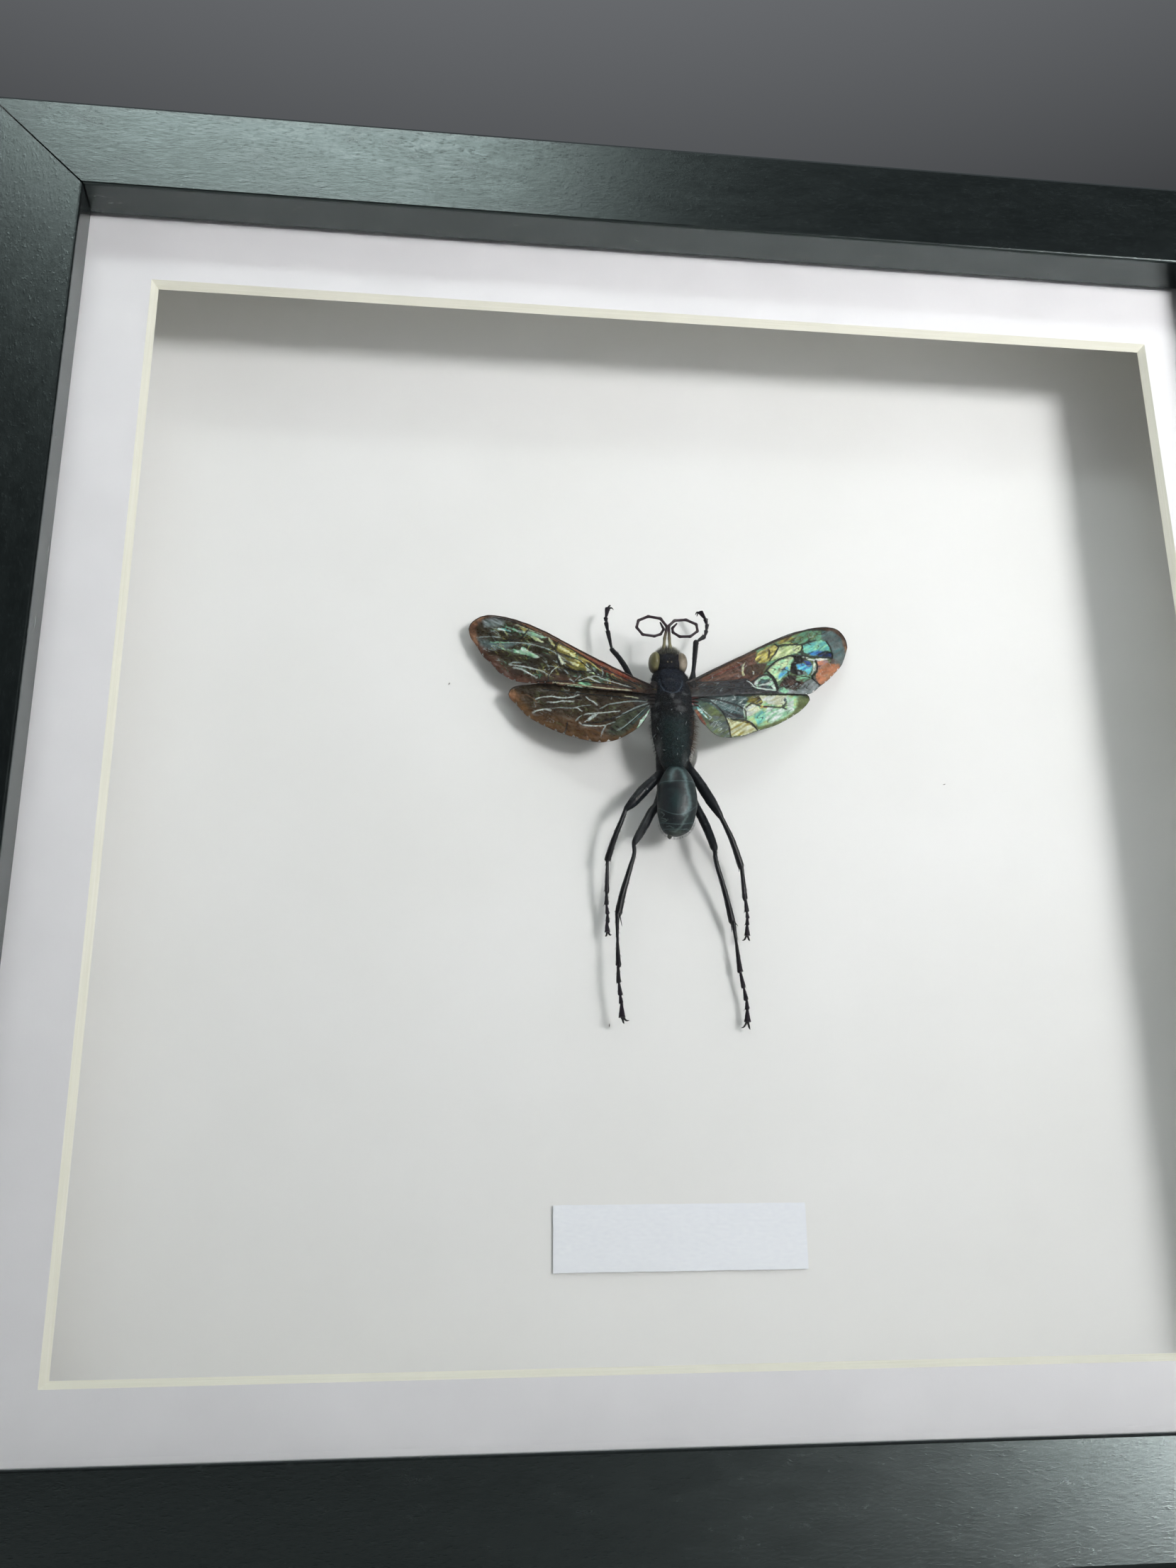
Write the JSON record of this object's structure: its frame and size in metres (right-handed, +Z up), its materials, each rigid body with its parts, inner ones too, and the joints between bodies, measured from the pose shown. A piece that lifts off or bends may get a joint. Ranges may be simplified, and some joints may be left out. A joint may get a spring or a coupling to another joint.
{
  "type": "framed tarantula hawk wasp",
  "caption": "Dried tarantula hawk wasp with spread wings, mounted over a paper label in a square black shadow-box frame with a bevelled white mat.",
  "frame": {"origin": "middle of the frame's base, on the surface it stands on", "axes": "+Z up, the pane faces -Y, +X to the right as seen from the front"},
  "size_m": [0.25, 0.045, 0.25],
  "materials": {
    "black_wood": "black satin paint over a fine grain",
    "clear_acrylic": "clear, polished",
    "white_card": "matt white card, cream where it is cut",
    "white_foam": "matt off-white",
    "label_paper": "plain matt paper",
    "hardboard": "brown pressed fibre",
    "bright_steel": "plain bright sheet",
    "wasp_shell": "blue-black satin body, brown wings with a rainbow sheen",
    "clear_glue": "clear dried glue"
  },
  "bodies": {
    "root": {"frame_rail_top": "black_wood", "frame_rail_bottom": "black_wood", "frame_rail_left": "black_wood", "frame_rail_right": "black_wood", "glazing": "clear_acrylic", "mat": "white_card", "spacer_top": "white_card", "spacer_bottom": "white_card", "spacer_left": "white_card", "spacer_right": "white_card", "mount_board": "white_foam", "label": "label_paper", "back_panel": "hardboard", "clip_1": "bright_steel", "clip_2": "bright_steel", "clip_3": "bright_steel", "clip_4": "bright_steel", "clip_5": "bright_steel", "clip_6": "bright_steel", "clip_7": "bright_steel", "clip_8": "bright_steel", "hanger": "bright_steel", "wasp": "wasp_shell", "glue": "clear_glue"}
  },
  "joints": []
}
